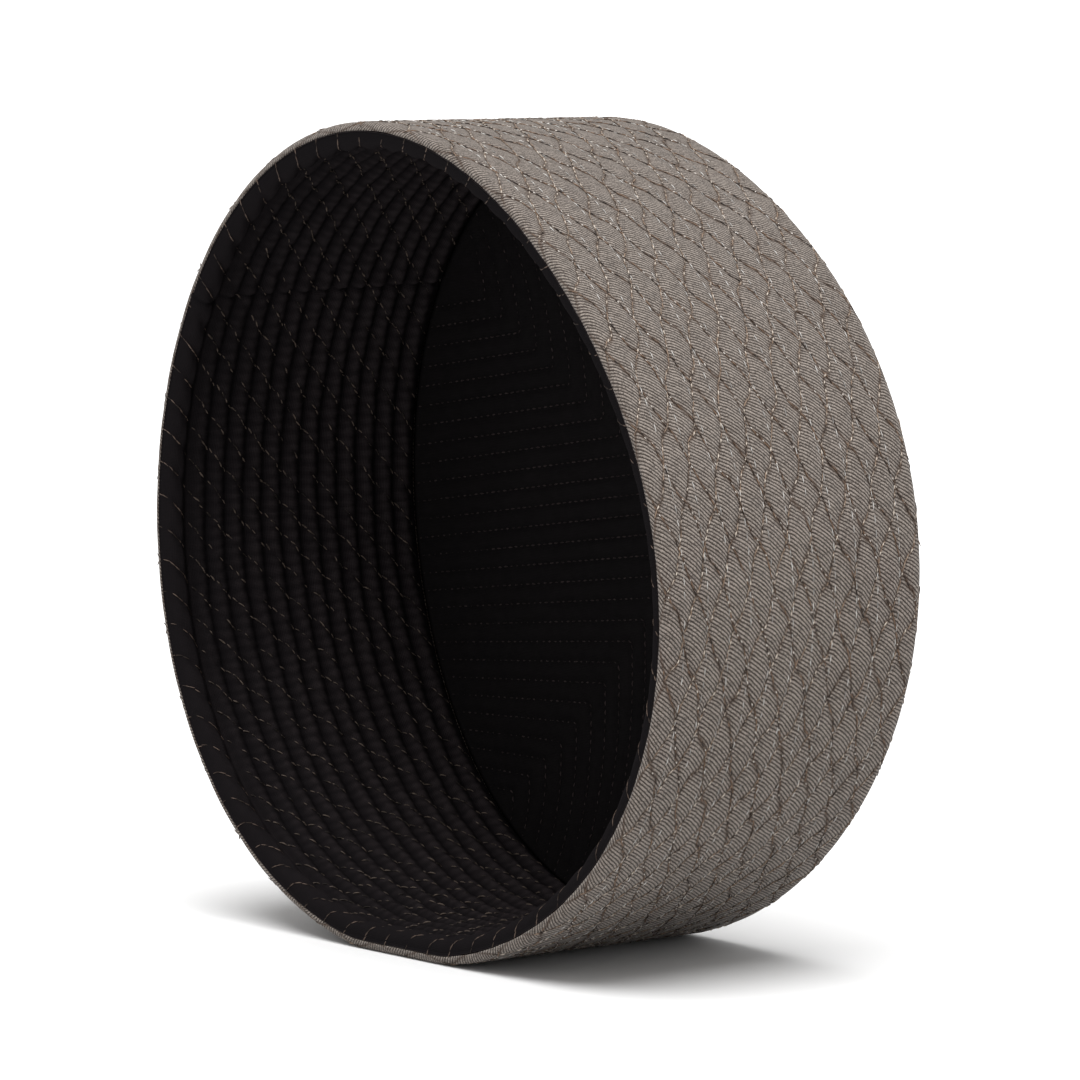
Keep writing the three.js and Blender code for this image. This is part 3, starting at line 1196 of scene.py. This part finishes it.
class StitchTree(NodeSheet):
    """Geometry Nodes that lay stitches along the lines of a wire object."""

    SIZES = ("Pitch", "Length", "Width", "Arch", "Rise", "Unevenness", "Keep")
    COUNTS = ("Sides", "Rings", "Seed")
    RANDOM_SOCKETS = {"FLOAT_VECTOR": (0, 0), "FLOAT": (2, 1)}
    TURN_DRAW = 3
    SIZE_DRAW = 5
    KEEP_DRAW = 11
    END_WIDTH = 0.4

    def __init__(self) -> None:
        """Build the node tree once for every kind of stitch."""
        super().__init__(bpy.data.node_groups.new("stitches_along_lines", "GeometryNodeTree"))
        self._socket("Geometry", "Geometry")
        for name in self.SIZES:
            self._socket(name, "Float")
        for name in self.COUNTS:
            self._socket(name, "Int")
        self._socket("Thread", "Material")
        self._socket("Geometry", "Geometry", "OUTPUT")
        self.inputs = self.add("NodeGroupInput").outputs
        self._fill()

    def _socket(self, name: str, kind: str, side: str = "INPUT") -> None:
        """Add one of the tree's own inputs or outputs."""
        self.tree.interface.new_socket(name, in_out=side, socket_type=f"NodeSocket{kind}")

    def _stitch(self) -> bpy.types.NodeSocket:
        """One stitch: a short arched tube that tapers into the cloth at both ends."""
        given = self.inputs
        half = self.product(given["Length"], 0.5)
        ends = {"Start": self.vector(x=self.product(half, -1.0)), "End": self.vector(x=half)}
        line = self.add("GeometryNodeCurvePrimitiveLine", ends).outputs[0]
        counted = {"Curve": line, "Count": given["Rings"]}
        rings = self.add("GeometryNodeResampleCurve", counted, mode="COUNT").outputs[0]
        factor = self.add("GeometryNodeSplineParameter").outputs["Factor"]
        swing = self.math("SINE", self.product(factor, math.pi))
        lift = self.math("ADD", self.product(swing, given["Arch"]), given["Rise"])
        bent = self.add("GeometryNodeSetPosition", {"Geometry": rings, "Offset": self.vector(z=lift)})
        section = {"Resolution": given["Sides"], "Radius": self.product(given["Width"], 0.5)}
        circle = self.add("GeometryNodeCurvePrimitiveCircle", section, mode="RADIUS")
        swelling = self.product(self.math("POWER", swing, 0.5), 1.0 - self.END_WIDTH)
        tube = {
            "Curve": bent.outputs[0],
            "Profile Curve": circle.outputs[0],
            "Scale": self.math("ADD", swelling, self.END_WIDTH),
            "Fill Caps": True,
        }
        return self.add("GeometryNodeCurveToMesh", tube).outputs[0]

    def _random(self, kind: str, low: object, high: object, draw: int) -> bpy.types.NodeSocket:
        """A random value between two limits, drawn from the tree's seed and the draw's number."""
        first, output = self.RANDOM_SOCKETS[kind]
        inputs = {first: low, first + 1: high, "Seed": self.math("ADD", self.inputs["Seed"], draw)}
        return self.add("FunctionNodeRandomValue", inputs, data_type=kind).outputs[output]

    def _rotation(self) -> bpy.types.NodeSocket:
        """Turn of each stitch: along the line, lifted off the cloth, and slightly uneven."""
        lift = self.add("GeometryNodeInputNamedAttribute", {"Name": "lift"}, data_type="FLOAT_VECTOR")
        tangent = self.add("GeometryNodeInputTangent").outputs[0]
        axes = {"Primary Axis": tangent, "Secondary Axis": lift.outputs["Attribute"]}
        turn = self.add("FunctionNodeAxesToRotation", axes, primary_axis="X", secondary_axis="Z")
        wobble = self._random("FLOAT_VECTOR", (-1.0, -1.0, -1.0), (1.0, 1.0, 1.0), self.TURN_DRAW)
        scale = {0: wobble, "Scale": self.inputs["Unevenness"]}
        scaled = self.add("ShaderNodeVectorMath", scale, operation="SCALE").outputs[0]
        euler = self.add("FunctionNodeEulerToRotation", {0: scaled}).outputs[0]
        both = {"Rotation": turn.outputs[0], "Rotate By": euler}
        return self.add("FunctionNodeRotateRotation", both, rotation_space="LOCAL").outputs[0]

    def _fill(self) -> None:
        """Fill the tree: lines to points, a stitch at each, turned along the line."""
        given = self.inputs
        curve = self.add("GeometryNodeMeshToCurve", {"Mesh": given["Geometry"]}).outputs[0]
        spaced = {"Curve": curve, "Length": given["Pitch"]}
        points = self.add("GeometryNodeResampleCurve", spaced, mode="LENGTH").outputs[0]
        low = self.math("SUBTRACT", 1.0, given["Unevenness"])
        high = self.math("ADD", 1.0, given["Unevenness"])
        chance = self._random("FLOAT", 0.0, 1.0, self.KEEP_DRAW)
        limits = {0: chance, 1: given["Keep"]}
        kept = self.add("FunctionNodeCompare", limits, data_type="FLOAT", operation="LESS_THAN")
        laid = {
            "Points": points,
            "Selection": kept.outputs[0],
            "Instance": self._stitch(),
            "Rotation": self._rotation(),
            "Scale": self._random("FLOAT", low, high, self.SIZE_DRAW),
        }
        place = self.add("GeometryNodeInstanceOnPoints", laid).outputs[0]
        real = self.add("GeometryNodeRealizeInstances", {0: place}).outputs[0]
        smooth = self.add("GeometryNodeSetShadeSmooth", {"Geometry": real}).outputs[0]
        covered = {"Geometry": smooth, "Material": given["Thread"]}
        self.add("NodeGroupOutput", {0: self.add("GeometryNodeSetMaterial", covered).outputs[0]})

    def sew(self, name: str, lines: Lines, sizes: StitchSizes, thread: bpy.types.Material) -> None:
        """Lay stitches along lines and finish them as one piece, a plain mesh.

        Args:
            name: Name of the piece.
            lines: The lines to follow, with their lift directions.
            sizes: Sizes of the stitches.
            thread: Finish of the stitches.
        """
        wire = draw_wire(name, lines)
        modifier = wire.modifiers.new("stitches", "NODES")
        modifier.node_group = self.tree
        values = {
            "Pitch": sizes.pitch * MM,
            "Length": sizes.length * MM,
            "Width": sizes.width * MM,
            "Arch": sizes.arch * MM,
            "Rise": sizes.rise * MM,
            "Unevenness": sizes.unevenness,
            "Keep": sizes.keep,
            "Sides": sizes.sides,
            "Rings": sizes.rings,
            "Seed": sizes.seed,
            "Thread": thread,
        }
        for item in self.tree.interface.items_tree:
            if item.in_out == "INPUT" and item.name in values:
                modifier[item.identifier] = values[item.name]
        graph = bpy.context.evaluated_depsgraph_get()
        mesh = bpy.data.meshes.new_from_object(wire.evaluated_get(graph))
        wire.modifiers.remove(modifier)
        bpy.data.objects.remove(wire)
        mesh.name = name
        lift = mesh.attributes.get("lift")
        if lift is not None:
            mesh.attributes.remove(lift)
        finish_piece(link_object(name, mesh))


@dataclass
class OuterWall:
    """The side wall's outer cloth and every thread on it."""

    form: CapForm
    finishes: Finishes
    stitches: StitchTree
    columns: int = 680
    wall_step: float = 0.64
    corner_steps: int = 6
    rim_share: float = 0.3
    corner_share: float = 0.25
    least_share: float = 0.3
    fade: float = 2.0
    crown_lead: float = 1.0
    round_limit: float = 0.99
    line_start: float = 0.7
    line_end: float = 0.5
    line_step: float = 0.35
    fleck_shift: int = 2
    line_rise: float = 0.05
    row_rise: float = 0.03
    row_points: int = 1200

    def __post_init__(self) -> None:
        """Set out the quilting on this wall."""
        self.quilting = WallQuilting(self.form)

    def _profile(self) -> tuple[Array, Array]:
        """Cross-section of the cloth, and how much of the relief each of its points takes."""
        form = self.form
        corner = (form.height - form.corner_round, form.corner_round)
        rim = arc((form.rim_round, form.rim_round), form.rim_round, 180, 270, self.corner_steps)
        wall = np.arange(form.rim_round + self.wall_step, corner[0], self.wall_step)
        inner_round = form.corner_round - form.shell_thickness
        turned = [[form.rim_back + form.layer_gap, form.shell_thickness], [form.rim_back, form.rim_turn]]
        parts = [
            (turned, 0.0),
            (rim, self.rim_share),
            (np.stack([wall, np.zeros_like(wall)], axis=-1), 1.0),
            (arc(corner, form.corner_round, 270, 360, self.corner_steps), self.corner_share),
            ([[form.height, form.turn_in], [form.height - form.shell_thickness, form.turn_in]], 0.0),
            (arc(corner, inner_round, 360, 270, 2), 0.0),
            ([[form.height * share, form.shell_thickness] for share in form.hidden_shares], 0.0),
        ]
        points = np.concatenate([np.asarray(part, float) for part, _ in parts])
        shares = np.concatenate([np.full(len(part), share) for part, share in parts])
        near_rim = eased((points[:, 0] - form.rim_round) / self.fade)
        near_crown = eased((corner[0] + self.crown_lead - points[:, 0]) / self.fade)
        faded = np.maximum(np.minimum(near_rim, near_crown), self.least_share)
        return points, shares * np.where(shares == 1.0, faded, 1.0)

    @staticmethod
    def _chart_start(profile: Array) -> float:
        """What to take off the chart so that on the wall it counts the height from the rim."""
        flat = int(np.argmax(profile[:, 1] == 0.0))
        return chart_lengths(profile)[flat] - profile[flat, 0] * MM

    def build(self) -> None:
        """Make the cloth and its threads."""
        profile, shares = self._profile()
        angles = column_angles(self.columns)[None, :]
        height = profile[:, :1]
        relief = self.quilting.relief(height, angles) * shares[:, None]
        cloth = ClothMesh(
            "outer_wall_cloth",
            self.finishes.wall_twill,
            self.form.place(height, profile[:, 1:] - relief, angles),
            self.form.chart_around(self.columns),
            chart_lengths(profile) - self._chart_start(profile),
            loop_rows=True,
        ).build()
        finish_piece(faced_outwards(cloth), "wall_shell")
        self._sew_slanting_lines()
        self._sew_rows()

    def _line(self, height: Array, angle: Array, rise: float) -> tuple[Array, Array]:
        """Points of a stitched line on the cloth and their lift directions."""
        form = self.form
        past_wall = np.clip(1.0 - (form.height - height) / form.corner_round, 0.0, self.round_limit)
        before_wall = np.clip(1.0 - height / form.rim_round, 0.0, self.round_limit)
        depth = -self.quilting.relief(height, angle) - rise
        depth = depth + form.corner_round * (1.0 - np.sqrt(1.0 - past_wall**2))
        depth = depth + form.rim_round * (1.0 - np.sqrt(1.0 - before_wall**2))
        lift = np.stack([np.cos(angle), np.zeros_like(angle), np.sin(angle)], axis=-1)
        return form.place(height, depth, angle), lift

    def _sew_family(
        self, lean: Lean, name: str, yarn: Yarn, seed: int, flecks: StitchSizes, fleck_yarn: Yarn
    ) -> None:
        """Sew one family of slanting lines, with the bright flecks between its stitches."""
        height = np.arange(self.line_start, self.form.height - self.line_end, self.line_step)
        lines = []
        for number in range(self.quilting.repeats):
            angle = self.quilting.line_angle(lean, number, height)
            lines.append(self._line(height, angle, self.line_rise))
        sizes = StitchSizes(
            pitch=1.9, length=2.0, width=0.31, arch=0.06, unevenness=0.18, keep=0.93, seed=seed
        )
        threads = self.finishes.threads
        self.stitches.sew(f"slanting_stitches_{name}", lines, sizes, threads[yarn])
        shifted = [(line[self.fleck_shift :], lift[self.fleck_shift :]) for line, lift in lines]
        self.stitches.sew(f"slanting_flecks_{name}", shifted, flecks, threads[fleck_yarn])

    def _sew_slanting_lines(self) -> None:
        """Sew both families of slanting lines."""
        flecks = StitchSizes(
            pitch=1.9, length=0.62, width=0.33, arch=0.06, rise=0.03, keep=0.4, seed=13, rings=3
        )
        self._sew_family(Lean.TO_CROWN, "to_crown", Yarn.BROWN, 11, flecks, Yarn.GLINT)
        flecks = StitchSizes(
            pitch=1.9, length=1.15, width=0.37, arch=0.07, rise=0.03, keep=0.82, seed=25, rings=3
        )
        self._sew_family(Lean.TO_RIM, "to_rim", Yarn.TAN, 23, flecks, Yarn.CREAM)

    def _sew_rows(self) -> None:
        """Sew the pale rows that run round the cap."""
        angle = np.linspace(-math.pi, math.pi, self.row_points)
        heights = [self.quilting.row_height(number, angle) for number in range(self.quilting.row_count)]
        lines = [self._line(height, angle, self.row_rise) for height in heights]
        sizes = StitchSizes(
            pitch=3.0, length=1.75, width=0.26, arch=0.07, unevenness=0.08, keep=0.9, seed=31, rings=3
        )
        self.stitches.sew("pale_row_stitches", lines, sizes, self.finishes.threads[Yarn.PALE])


@dataclass
class WallLining:
    """The wall's corded black lining and the threads on it."""

    form: CapForm
    finishes: Finishes
    stitches: StitchTree
    columns: int = 640
    rib_steps: int = 9
    strip_steps: int = 12
    edge_points: int = 9
    stitch_start: float = 0.14
    stitch_reach: float = 0.74
    stitch_points: int = 12
    hook_start: float = 0.1
    hook_points: int = 9
    leg_lead: float = 0.3
    leg_points: int = 5
    leg_end: float = 5.4
    low_leg: float = 1.4
    hook_drag: float = 1.1
    hook_sink: float = 0.04

    def __post_init__(self) -> None:
        """Set out the ribs on this lining."""
        self.ribs = LiningRibs(self.form)

    def _seen_heights(self, end: float) -> Array:
        """Heights of the mesh rows on the seen face, over the rolled edge, the strip and the ribs."""
        ribs = self.ribs
        edge = 1.0 - np.cos(np.linspace(0.0, math.pi / 2, self.edge_points))
        strip = np.linspace(ribs.roll_height, ribs.strip_width, self.strip_steps)[1:]
        top = ribs.strip_width + ribs.rib_count * ribs.rib_pitch
        corded = np.linspace(ribs.strip_width, top, ribs.rib_count * self.rib_steps + 1)[1:]
        return np.concatenate([edge * ribs.roll_height, strip, corded, [end]])

    def _hidden_profile(self, end: float) -> Array:
        """Height and depth of the lining's hidden face, from the crown back to the mouth."""
        form = self.form
        edge_depth = form.rim_turn + form.layer_gap
        points = [[end, form.lining_top]]
        points += [[form.height * share, form.lining_top] for share in form.hidden_shares]
        points += [
            [form.rim_back + 2 * form.layer_gap, form.lining_top],
            [form.rim_back + form.layer_gap, edge_depth],
            [0.0, edge_depth],
        ]
        return np.array(points)

    def build(self) -> None:
        """Make the lining and its threads."""
        form, ribs = self.form, self.ribs
        end = form.height - form.shell_thickness - form.lining_thickness - 2 * form.layer_gap
        seen, hidden = self._seen_heights(end), self._hidden_profile(end)
        angles = column_angles(self.columns)[None, :]
        seen_depth = ribs.depth(seen[:, None], angles)
        hidden_depth = np.broadcast_to(hidden[:, 1:], (len(hidden), self.columns))
        height = np.concatenate([seen, hidden[:, 0]])
        depth = np.concatenate([seen_depth, hidden_depth])
        cloth = ClothMesh(
            "wall_lining_cloth",
            self.finishes.wall_lining,
            form.place(height[:, None], depth, angles),
            form.chart_around(self.columns),
            chart_lengths(np.stack([height, depth.mean(axis=1)], axis=-1)),
            loop_rows=True,
            crease=ribs.shade(seen[:, None], angles),
        ).build()
        finish_piece(faced_outwards(cloth), "wall_lining")
        self._sew_slanting_lines()
        self._sew_edge()

    def _line(self, height: Array, angle: Array, sink: float = 0.0) -> tuple[Array, Array]:
        """Points of a stitched line on the lining and their lift directions."""
        points = self.form.place(height, self.ribs.depth(height, angle) + sink, angle)
        lift = np.stack([-np.cos(angle), np.zeros_like(angle), -np.sin(angle)], axis=-1)
        return points, lift

    def _rib_line(self, number: int, rib: int) -> tuple[Array, Array]:
        """Stretch of a slanting line over one rib."""
        pitch = self.ribs.rib_pitch
        start = self.ribs.strip_width + (rib + self.stitch_start) * pitch
        height = np.linspace(start, start + self.stitch_reach * pitch, self.stitch_points)
        return self._line(height, self.ribs.line_angle(number, height))

    def _sew_slanting_lines(self) -> None:
        """Sew the slanting lines, which show on each rib's crest."""
        ribs = self.ribs
        groups = (("lining_slanting_stitches", 1, 0.9, 41), ("lining_sparse_stitches", 0, 0.76, 43))
        for name, first, keep, seed in groups:
            numbers = range(first, ribs.line_count, 2)
            lines = [self._rib_line(number, rib) for number in numbers for rib in range(ribs.rib_count)]
            sizes = StitchSizes(
                pitch=1.85, length=1.6, width=0.32, arch=0.15, unevenness=0.24, keep=keep, seed=seed
            )
            self.stitches.sew(name, lines, sizes, self.finishes.threads[Yarn.LINING])

    def _edge_line(self, number: int) -> tuple[Array, Array]:
        """A long oblique stitch that hooks over the rolled edge and runs on over the strip."""
        ribs = self.ribs
        turn = np.linspace(self.hook_start, math.pi / 2, self.hook_points)
        hook = ribs.roll_height * (1.0 - np.cos(turn))
        end = self.leg_end + self.low_leg * max(0.0, -math.sin(ribs.line_angle(number, 0.0)))
        leg = np.linspace(ribs.roll_height + self.leg_lead, end, self.leg_points)
        height = np.concatenate([hook, leg])
        angle = ribs.line_angle(number, height)
        drag = np.concatenate([1.0 - np.sin(turn), np.zeros(self.leg_points)])
        drag = self.hook_drag * (1.0 + math.cos(angle[0])) * drag
        return self._line(height, angle - drag / self.form.mean_radius, self.hook_sink)

    def _sew_edge(self) -> None:
        """Sew the hooked stitches over the edge."""
        lines = [self._edge_line(number) for number in range(self.ribs.line_count)]
        sizes = StitchSizes(pitch=1.5, length=1.6, width=0.24, arch=0.05, keep=0.82, seed=47)
        self.stitches.sew("edge_strip_stitches", lines, sizes, self.finishes.threads[Yarn.EDGE])


@dataclass
class CrownDisc:
    """One cloth of the crown, quilted in rows, with its running stitches."""

    form: CapForm
    face: Face
    cloth_finish: bpy.types.Material
    thread: bpy.types.Material
    stitches: StitchTree
    quilting: CrownQuilting
    columns: int = 420
    seen_rings: int = 84
    hidden_rings: int = 6
    edge_fade: float = 3.0
    crease_width: float = 0.8
    thread_rise: float = 0.9

    @property
    def _outside(self) -> bool:
        """Whether this is the crown's outer cloth."""
        return self.face is Face.OUTSIDE

    @property
    def _edge_depth(self) -> float:
        """Depth of the disc's edge under the wall's outer surface."""
        form = self.form
        return form.turn_in + form.layer_gap if self._outside else form.crown_lining_inset

    @property
    def _levels(self) -> tuple[float, float]:
        """How far the seen and hidden faces lie under the crown's outer face."""
        form = self.form
        if self._outside:
            return 0.0, form.shell_thickness
        return form.lining_face, form.lining_top

    def build(self) -> None:
        """Make the disc and its stitches."""
        form = self.form
        edge = form.crown_edge(self._edge_depth, column_angles(self.columns))
        seen_level, hidden_level = self._levels
        seen = np.linspace(1.0, 1.0 / self.seen_rings, self.seen_rings)[:, None]
        hidden = np.linspace(1.0 / self.hidden_rings, 1.0, self.hidden_rings)[:, None]
        gap = self.quilting.gap(seen * edge[0], seen * edge[1])
        fade = eased((1.0 - seen) * form.crown_radius / self.edge_fade)
        below = seen_level - self.face.value * self.quilting.relief(gap) * fade
        top = form.place_on_crown(seen * edge[0], seen * edge[1], below)
        base = form.place_on_crown(hidden * edge[0], hidden * edge[1], hidden_level)
        rows = np.concatenate([top[::-1], base[::-1]])
        cloth = ClothMesh(
            "crown_outer_cloth" if self._outside else "crown_lining_cloth",
            self.cloth_finish,
            rows,
            np.zeros(self.columns + 1),
            np.zeros(len(rows) + 1),
            loop_rows=False,
            # Closeness to the rows, which the finishes paint darker: painted shade on the lining, and a
            # brown tint with painted shade on the twill.
            crease=bell(gap, self.crease_width)[::-1],
            poles=tuple(form.place_on_crown(0.0, 0.0, level) for level in self._levels),
        ).build()
        self._chart_flat(cloth.data)
        node = "crown_shell" if self._outside else "crown_lining"
        finish_piece(faced_outwards(cloth), node)
        self._sew_rows()

    @staticmethod
    def _chart_flat(mesh: bpy.types.Mesh) -> None:
        """Chart the disc by its place across and up, so that the weave runs straight over it."""
        corners = np.zeros(len(mesh.loops), np.int32)
        mesh.loops.foreach_get("vertex_index", corners)
        flat = vertex_places(mesh)[corners][:, [0, 2]]
        mesh.uv_layers["cloth"].data.foreach_set("uv", flat.ravel())

    def _sew_rows(self) -> None:
        """Sew the running stitches along every row."""
        outward = float(self.face.value)
        level = self._levels[0] + outward * self.quilting.groove * self.thread_rise
        lines = []
        for row in self.quilting.rows:
            points = self.form.place_on_crown(row[:, 0], row[:, 1], level)
            lines.append((points, np.tile([0.0, outward, 0.0], (len(points), 1))))
        name = "crown_outer_stitches" if self._outside else "crown_lining_stitches"
        sizes = StitchSizes(pitch=2.05, length=1.25, width=0.4, arch=0.16, seed=53, rings=3)
        self.stitches.sew(name, lines, sizes, self.thread)


@dataclass(frozen=True)
class Studio:
    """Pale floor, soft light and the photograph's camera."""

    form: CapForm
    azimuth: float = 52.85
    elevation: float = 5.5
    distance: float = 1527.3
    aim_right: float = 32.3
    aim_height: float = 91.7
    focal_share: float = 7000.0 / 1080.0
    sensor: float = 36.0
    floor_size: float = 60.0
    floor_shade: float = 0.72
    sky_strength: float = 0.7
    key_strength: float = 4.6
    key_softness: float = 56.0
    key_azimuth: float = 52.0
    key_elevation: float = 77.0

    @staticmethod
    def _turned(item: bpy.types.Object, azimuth: float, elevation: float) -> Vector:
        """Turn a camera or light so that it looks at the cap from an angle.

        Args:
            item: The camera or light.
            azimuth: Angle round the cap, 0 in front of the mouth.
            elevation: Angle above the floor.

        Returns:
            The direction from the cap towards it.
        """
        turn, rise = math.radians(azimuth), math.radians(elevation)
        flat = math.cos(rise)
        back = Vector((math.sin(turn) * flat, -math.cos(turn) * flat, math.sin(rise)))
        item.rotation_mode = "QUATERNION"
        item.rotation_quaternion = (-back).to_track_quat("-Z", "Y")
        return back

    def _camera(self) -> None:
        """Place the camera at the photograph's angle."""
        data = bpy.data.cameras.new("camera")
        data.sensor_width = self.sensor
        data.lens = self.sensor * self.focal_share
        data.clip_start, data.clip_end = 0.05, 100.0
        camera = link_object("camera", data)
        back = self._turned(camera, self.azimuth, self.elevation)
        turn = math.radians(self.azimuth)
        right = Vector((math.cos(turn), math.sin(turn), 0.0))
        rim_centre = Vector((-self.form.middle_x, -self.form.full_height / 2.0, self.aim_height))
        camera.location = (rim_centre + back * self.distance + right * self.aim_right) * MM
        bpy.context.scene.camera = camera

    def _floor(self) -> None:
        """Lay the pale floor under the cap."""
        half = self.floor_size / 2.0
        mesh = bpy.data.meshes.new("floor")
        corners = [(-half, -half, 0.0), (half, -half, 0.0), (half, half, 0.0), (-half, half, 0.0)]
        mesh.from_pydata(corners, [], [(0, 1, 2, 3)])
        sheet = ShaderSheet("pale_floor")
        colour = (*[self.floor_shade] * 3, 1.0)
        sheet.cover({"Base Color": colour, "Roughness": 0.9, "Specular IOR Level": 0.1})
        mesh.materials.append(sheet.material)
        floor = link_object("floor", mesh)

    def _light(self) -> None:
        """Light the cap with a soft sky and one broad key light."""
        world = bpy.data.worlds.new("studio")
        world.use_nodes = True
        background = world.node_tree.nodes["Background"]
        background.inputs["Color"].default_value = (1.0, 1.0, 1.0, 1.0)
        background.inputs["Strength"].default_value = self.sky_strength
        bpy.context.scene.world = world
        data = bpy.data.lights.new("key", "SUN")
        data.energy = self.key_strength
        data.angle = math.radians(self.key_softness)
        self._turned(link_object("key", data), self.key_azimuth, self.key_elevation)
        bpy.context.scene.view_settings.view_transform = "Standard"

    def build(self) -> None:
        """Make the camera, the floor and the light."""
        self._camera()
        self._floor()
        self._light()


def main() -> None:
    """Build the studio and every piece of the cap in order."""
    logging.basicConfig(level=logging.INFO, format="%(name)s %(message)s")
    form = CapForm()
    Studio(form).build()
    finishes = Finishes.build(form)
    threads = finishes.threads
    stitches = StitchTree()
    OuterWall(form, finishes, stitches).build()
    WallLining(form, finishes, stitches).build()
    crown = CrownQuilting(form)
    CrownDisc(form, Face.OUTSIDE, finishes.crown_twill, threads[Yarn.BROWN], stitches, crown).build()
    CrownDisc(form, Face.INSIDE, finishes.crown_lining, threads[Yarn.CROWN], stitches, crown).build()


if __name__ == "__main__":
    main()
